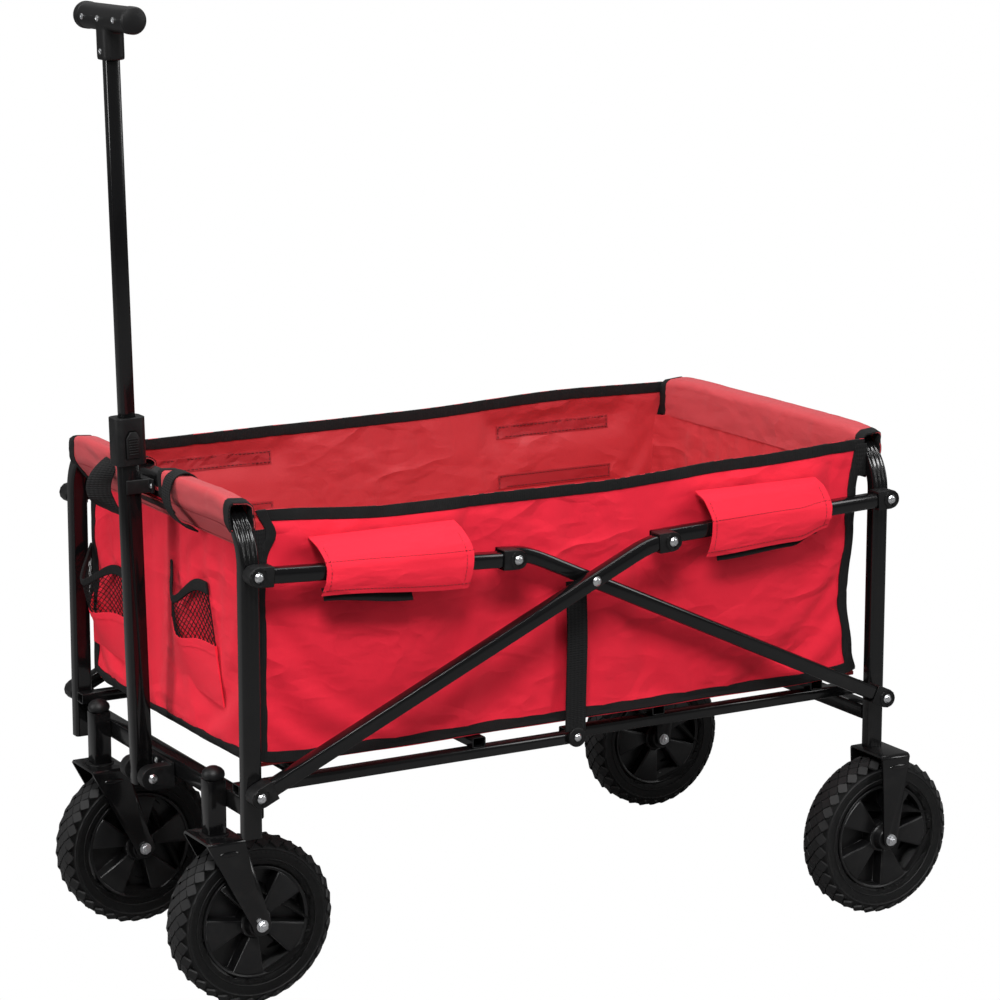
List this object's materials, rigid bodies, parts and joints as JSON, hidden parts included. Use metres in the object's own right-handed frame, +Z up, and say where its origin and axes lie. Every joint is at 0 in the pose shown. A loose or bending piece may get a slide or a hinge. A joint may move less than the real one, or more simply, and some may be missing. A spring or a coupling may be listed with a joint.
{
  "type": "folding wagon",
  "caption": "Folding utility wagon: open fabric bag between two U-shaped tube frames with scissor sides, swivelling front wheels and a telescoping pull handle.",
  "frame": {"origin": "on the ground under the centre of the overall box", "axes": "+X from the pull handle end to the rear, +Y to the wagon's right, +Z up"},
  "size_m": [0.918, 0.5406, 1.0294],
  "materials": {
    "black_paint": "gloss black powder coat on steel tube",
    "moulded_plastic": "fine textured black moulding",
    "rim": "satin black moulded wheel centre",
    "tyre": "matt black foam rubber with a diamond tread",
    "steel": "zinc-plated bolts and rivets",
    "bag_cloth": "coated red polyester, plain weave",
    "webbing": "black ribbed webbing and binding tape"
  },
  "bodies": {
    "rear_frame": {"rear_u_frame": "black_paint", "rear_crossbar": "black_paint", "rear_fork_left": "black_paint", "rear_fork_right": "black_paint", "rear_left_axle_bolt": "steel", "rear_right_axle_bolt": "steel", "bag_side_left": "bag_cloth", "bag_side_right": "bag_cloth", "bag_rear_panel": "bag_cloth", "bag_floor": "bag_cloth"},
    "inner_braces": {"inner_brace_left": "black_paint", "inner_brace_right": "black_paint", "inner_brace_foot_cap_left": "moulded_plastic", "inner_brace_foot_cap_right": "moulded_plastic"},
    "outer_braces": {"outer_brace_left": "black_paint", "outer_brace_right": "black_paint", "outer_brace_foot_cap_left": "moulded_plastic", "outer_brace_foot_cap_right": "moulded_plastic", "outer_brace_arm_cap_left": "moulded_plastic", "outer_brace_arm_cap_right": "moulded_plastic"},
    "front_links": {"front_link_left": "black_paint", "front_link_right": "black_paint", "front_link_leg_cap_left": "moulded_plastic", "front_link_leg_cap_right": "moulded_plastic", "front_link_arm_cap_left": "moulded_plastic", "front_link_arm_cap_right": "moulded_plastic"},
    "rear_links": {"rear_link_left": "black_paint", "rear_link_right": "black_paint", "rear_link_leg_cap_left": "moulded_plastic", "rear_link_leg_cap_right": "moulded_plastic"},
    "front_frame": {"front_u_frame": "black_paint", "front_beam": "black_paint", "post_cap_left": "moulded_plastic", "post_cap_right": "moulded_plastic", "handle_bracket": "moulded_plastic", "handle_pivot_bolt": "steel", "handle_clip": "moulded_plastic", "bag_front_panel": "bag_cloth"},
    "floor_front": {"floor_frame_front": "black_paint"},
    "floor_rear": {"floor_frame_rear": "black_paint"},
    "centre_straps": {"centre_strap_left": "webbing", "centre_strap_right": "webbing"},
    "caster_left": {"caster_fork_left": "black_paint", "front_left_axle_bolt": "steel"},
    "caster_right": {"caster_fork_right": "black_paint", "front_right_axle_bolt": "steel"},
    "front_wheel_left": {"front_left_tyre": "tyre", "front_left_rim": "rim"},
    "front_wheel_right": {"front_right_tyre": "tyre", "front_right_rim": "rim"},
    "rear_wheel_left": {"rear_left_tyre": "tyre", "rear_left_rim": "rim"},
    "rear_wheel_right": {"rear_right_tyre": "tyre", "rear_right_rim": "rim"},
    "handle": {"handle_outer_tube": "black_paint", "handle_collar": "moulded_plastic"},
    "handle_upper": {"handle_inner_tube": "black_paint", "handle_grip": "moulded_plastic"},
    "lock_button": {"lock_button": "moulded_plastic"}
  },
  "joints": [
    {"name": "fold", "type": "hinge", "parent": "rear_frame", "child": "inner_braces", "pos_m": [0.375, 0, 0.2475], "axis": [0, 1, 0], "range_deg": [0, 55], "deforming": ["bag_side_left", "bag_side_right", "bag_floor", "bag_rear_panel", "bag_front_panel", "centre_strap_left", "centre_strap_right"]},
    {"name": "scissor_cross", "type": "hinge", "parent": "inner_braces", "child": "outer_braces", "pos_m": [-0.0125, 0, 0.4286], "axis": [0, 1, 0], "range_deg": [-110, 0]},
    {"name": "front_foot_pivot", "type": "hinge", "parent": "outer_braces", "child": "front_frame", "pos_m": [-0.4, 0, 0.2475], "axis": [0, 1, 0], "range_deg": [0, 55]},
    {"name": "front_link_pivot", "type": "hinge", "parent": "inner_braces", "child": "front_links", "pos_m": [-0.1059, 0, 0.4616], "axis": [0, 1, 0], "range_deg": [-138.32, 0]},
    {"name": "rear_link_pivot", "type": "hinge", "parent": "outer_braces", "child": "rear_links", "pos_m": [0.0809, 0, 0.4616], "axis": [0, 1, 0], "range_deg": [0, 138.32]},
    {"name": "floor_rear_pivot", "type": "hinge", "parent": "rear_frame", "child": "floor_rear", "pos_m": [0.375, 0, 0.2475], "axis": [0, 1, 0], "range_deg": [0, 79.02]},
    {"name": "floor_front_pivot", "type": "hinge", "parent": "front_frame", "child": "floor_front", "pos_m": [-0.4, 0, 0.2475], "axis": [0, 1, 0], "range_deg": [-79.02, 0]},
    {"name": "strap_pivot", "type": "hinge", "parent": "inner_braces", "child": "centre_straps", "pos_m": [-0.0125, 0, 0.4286], "axis": [0, 1, 0], "range_deg": [-55, 0]},
    {"name": "caster_swivel_left", "type": "hinge", "parent": "front_frame", "child": "caster_left", "pos_m": [-0.409, -0.149, 0.187], "axis": [0, 0, 1], "continuous": true},
    {"name": "front_wheel_spin_left", "type": "hinge", "parent": "caster_left", "child": "front_wheel_left", "pos_m": [-0.37, -0.149, 0.089], "axis": [0, 1, 0], "continuous": true},
    {"name": "caster_swivel_right", "type": "hinge", "parent": "front_frame", "child": "caster_right", "pos_m": [-0.409, 0.149, 0.187], "axis": [0, 0, 1], "continuous": true},
    {"name": "front_wheel_spin_right", "type": "hinge", "parent": "caster_right", "child": "front_wheel_right", "pos_m": [-0.37, 0.149, 0.089], "axis": [0, 1, 0], "continuous": true},
    {"name": "rear_wheel_spin_left", "type": "hinge", "parent": "rear_frame", "child": "rear_wheel_left", "pos_m": [0.37, -0.235, 0.089], "axis": [0, 1, 0], "continuous": true},
    {"name": "rear_wheel_spin_right", "type": "hinge", "parent": "rear_frame", "child": "rear_wheel_right", "pos_m": [0.37, 0.235, 0.089], "axis": [0, 1, 0], "continuous": true},
    {"name": "handle_tilt", "type": "hinge", "parent": "front_frame", "child": "handle", "pos_m": [-0.424, 0, 0.216], "axis": [0, -1, 0], "range_deg": [0, 98]},
    {"name": "handle_slide", "type": "slide", "parent": "handle", "child": "handle_upper", "axis": [-0.0237, 0, 0.9997], "range_m": [-0.325, 0]},
    {"name": "button_press", "type": "slide", "parent": "handle", "child": "lock_button", "axis": [0, 1, 0], "range_m": [0, 0.0025], "stiffness_N_per_m": 800}
  ],
  "couplings": [
    {"joint": "scissor_cross", "follows": "fold", "ratio": -2},
    {"joint": "front_foot_pivot", "follows": "fold", "ratio": 1},
    {"joint": "front_link_pivot", "follows": "fold", "ratio": -2.5147},
    {"joint": "rear_link_pivot", "follows": "fold", "ratio": 2.5147},
    {"joint": "floor_rear_pivot", "follows": "fold", "ratio": 1.4366},
    {"joint": "floor_front_pivot", "follows": "fold", "ratio": -1.4366},
    {"joint": "strap_pivot", "follows": "fold", "ratio": -1}
  ]
}
